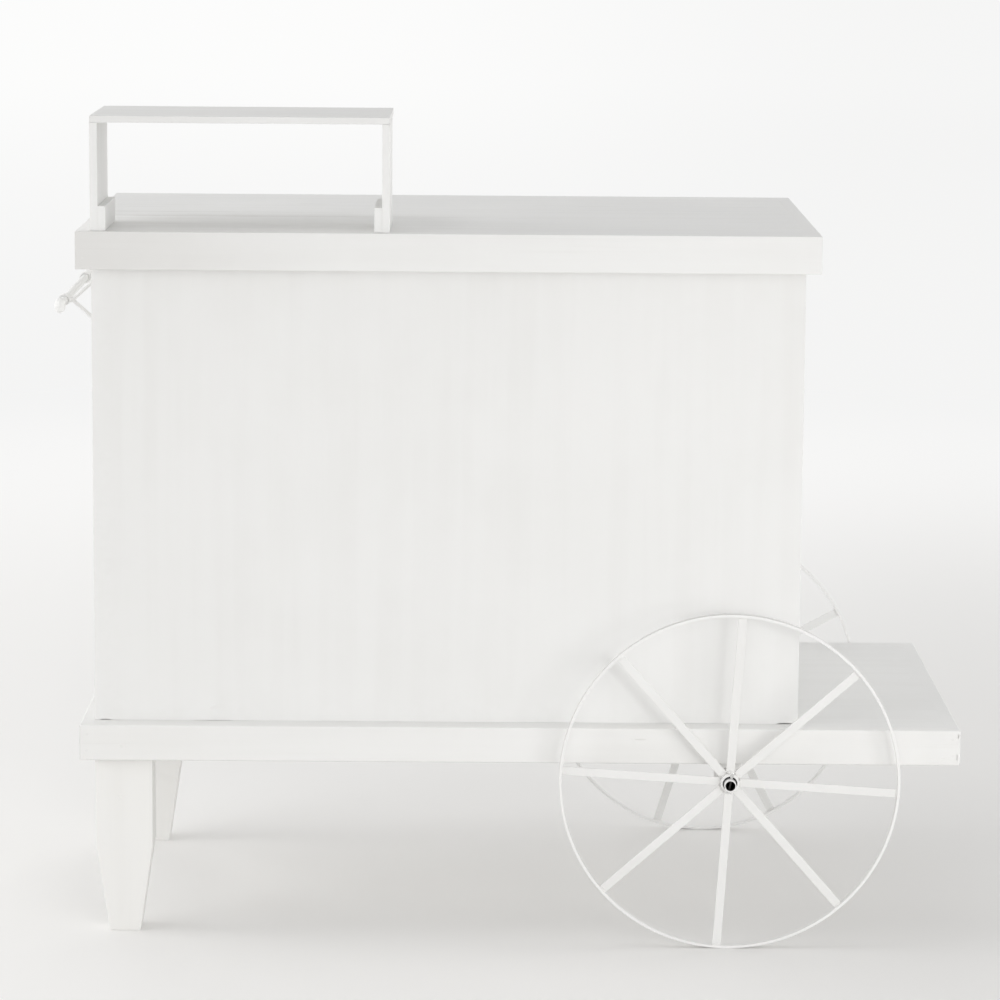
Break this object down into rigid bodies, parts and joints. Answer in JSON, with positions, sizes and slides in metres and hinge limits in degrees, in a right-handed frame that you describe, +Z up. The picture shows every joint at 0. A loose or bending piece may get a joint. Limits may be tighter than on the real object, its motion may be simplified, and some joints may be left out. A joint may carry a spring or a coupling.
{
  "type": "display cart",
  "caption": "White-painted wooden display cart: a cabinet under a planked counter with a low riser, on a framed platform with tapered legs and spoked wheels.",
  "frame": {"origin": "on the floor under the middle of the cart's bounding box", "axes": "+X along the cart from the leg end to the wheel end, +Y from the plain front panel towards the open back, +Z up"},
  "size_m": [1.3607, 0.786, 1.2335],
  "materials": {
    "painted_wood": "brushed matt white paint over softwood and panel board",
    "painted_steel": "satin white enamel",
    "zinc_steel": "bright zinc plate"
  },
  "bodies": {
    "cart": {"platform_front_rail": "painted_wood", "platform_back_rail": "painted_wood", "platform_left_rail": "painted_wood", "platform_right_rail": "painted_wood", "cabinet_deck": "painted_wood", "display_deck": "painted_wood", "leg_beam": "painted_wood", "axle_beam": "painted_wood", "deck_beam": "painted_wood", "front_leg": "painted_wood", "back_leg": "painted_wood", "cabinet_front_panel": "painted_wood", "cabinet_left_panel": "painted_wood", "cabinet_right_panel": "painted_wood", "cabinet_left_stile": "painted_wood", "cabinet_right_stile": "painted_wood", "cabinet_top_rail": "painted_wood", "cabinet_shelf": "painted_wood", "counter_front_apron": "painted_wood", "counter_back_apron": "painted_wood", "counter_left_apron": "painted_wood", "counter_right_apron": "painted_wood", "counter_plank_1": "painted_wood", "counter_plank_2": "painted_wood", "counter_plank_3": "painted_wood", "counter_plank_4": "painted_wood", "counter_plank_5": "painted_wood", "riser_shelf": "painted_wood", "riser_left_post": "painted_wood", "riser_right_post": "painted_wood", "riser_left_cleat": "painted_wood", "riser_right_cleat": "painted_wood", "handle_bar": "painted_steel", "handle_front_bracket": "painted_steel", "handle_back_bracket": "painted_steel", "axle_tube": "painted_steel", "axle_front_bracket": "painted_steel", "axle_back_bracket": "painted_steel", "front_cotter_pin": "zinc_steel", "back_cotter_pin": "zinc_steel"},
    "front_wheel": {"front_wheel_rim": "painted_steel", "front_wheel_hub": "painted_steel", "front_wheel_spoke_1": "painted_steel", "front_wheel_spoke_2": "painted_steel", "front_wheel_spoke_3": "painted_steel", "front_wheel_spoke_4": "painted_steel", "front_wheel_spoke_5": "painted_steel", "front_wheel_spoke_6": "painted_steel", "front_wheel_spoke_7": "painted_steel", "front_wheel_spoke_8": "painted_steel"},
    "back_wheel": {"back_wheel_rim": "painted_steel", "back_wheel_hub": "painted_steel", "back_wheel_spoke_1": "painted_steel", "back_wheel_spoke_2": "painted_steel", "back_wheel_spoke_3": "painted_steel", "back_wheel_spoke_4": "painted_steel", "back_wheel_spoke_5": "painted_steel", "back_wheel_spoke_6": "painted_steel", "back_wheel_spoke_7": "painted_steel", "back_wheel_spoke_8": "painted_steel"}
  },
  "joints": [
    {"name": "front_wheel_spin", "type": "hinge", "parent": "cart", "child": "front_wheel", "pos_m": [0.33385, -0.37, 0.254], "axis": [0, 1, 0], "continuous": true},
    {"name": "back_wheel_spin", "type": "hinge", "parent": "cart", "child": "back_wheel", "pos_m": [0.33385, 0.37, 0.254], "axis": [0, 1, 0], "continuous": true}
  ]
}
